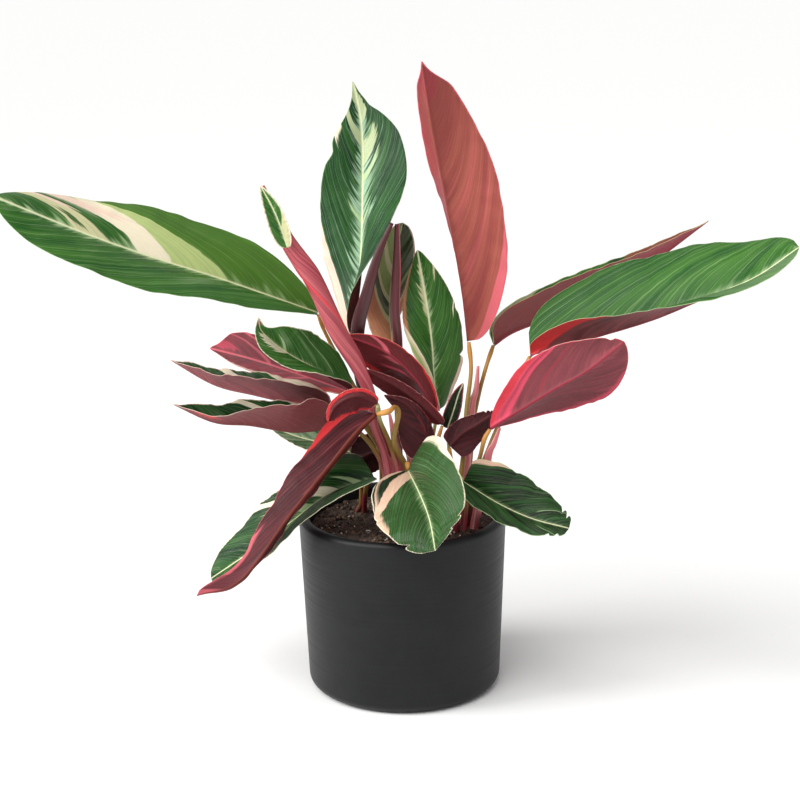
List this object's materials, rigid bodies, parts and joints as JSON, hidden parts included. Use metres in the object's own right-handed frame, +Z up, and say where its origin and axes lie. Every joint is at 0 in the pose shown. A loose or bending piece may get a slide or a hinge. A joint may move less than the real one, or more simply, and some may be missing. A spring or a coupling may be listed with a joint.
{
  "type": "stromanthe triostar in a pot",
  "caption": "Potted stromanthe triostar: long leaves variegated green and cream above and maroon below, on arching petioles, in a plain round charcoal planter with soil.",
  "frame": {"origin": "centre of the planter's flat underside", "axes": "+Z up along the planter's axis, -Y towards the front that the picture shows, +X to its right"},
  "size_m": [0.4615, 0.1765, 0.3922],
  "materials": {
    "planter": "matte charcoal, fine turning lines",
    "earth": "dark crumbly potting soil with white perlite",
    "leaf_green": "satin leaf, green with cream and pale green marks",
    "leaf_maroon": "satin leaf, maroon underside with pink and red marks",
    "stem": "satin olive-yellow stalk",
    "young_shoot": "satin red-pink rolled leaf",
    "sheath": "satin pink scale"
  },
  "bodies": {
    "root": {"pot": "planter", "soil": "earth", "blade_long_left": "leaf_green", "blade_top_green": "leaf_green", "blade_back_cream": "leaf_green", "blade_mid_green": "leaf_green", "blade_tall_red": "leaf_maroon", "blade_back_right": "leaf_maroon", "blade_long_right": "leaf_green", "blade_low_right_red": "leaf_maroon", "blade_front_down": "leaf_maroon", "blade_front_arch": "leaf_maroon", "blade_left_upper": "leaf_maroon", "blade_left_lower": "leaf_maroon", "blade_left_pink": "leaf_maroon", "blade_left_green": "leaf_green", "blade_mid_maroon": "leaf_maroon", "blade_mid_dark": "leaf_maroon", "blade_mid_drooping": "leaf_maroon", "blade_right_maroon": "leaf_maroon", "blade_young_green": "leaf_green", "blade_front_low": "leaf_green", "blade_right_low": "leaf_green", "blade_left_low": "leaf_green", "blade_left_behind": "leaf_green", "blade_behind_stems": "leaf_maroon", "petiole_long_left": "stem", "petiole_top_green": "stem", "petiole_back_cream": "stem", "petiole_mid_green": "stem", "petiole_front_down": "stem", "petiole_front_arch": "stem", "petiole_left_upper": "stem", "petiole_left_lower": "stem", "petiole_left_pink": "stem", "petiole_left_green": "stem", "petiole_mid_maroon": "stem", "petiole_mid_dark": "stem", "petiole_mid_drooping": "stem", "petiole_front_low": "stem", "petiole_behind_stems": "stem", "petiole_tall_red": "stem", "petiole_back_right": "stem", "petiole_long_right": "stem", "petiole_low_right_red": "stem", "petiole_right_maroon": "stem", "petiole_young_green": "stem", "petiole_right_low": "stem", "petiole_left_low": "stem", "petiole_left_behind": "stem", "spear_shoot": "young_shoot", "strap_shoot": "young_shoot", "rolled_shoot": "young_shoot", "sheath_low_right": "sheath", "sheath_back_right": "sheath", "sheath_middle": "sheath", "sheath_front": "sheath", "sheath_thin": "sheath"}
  },
  "joints": []
}
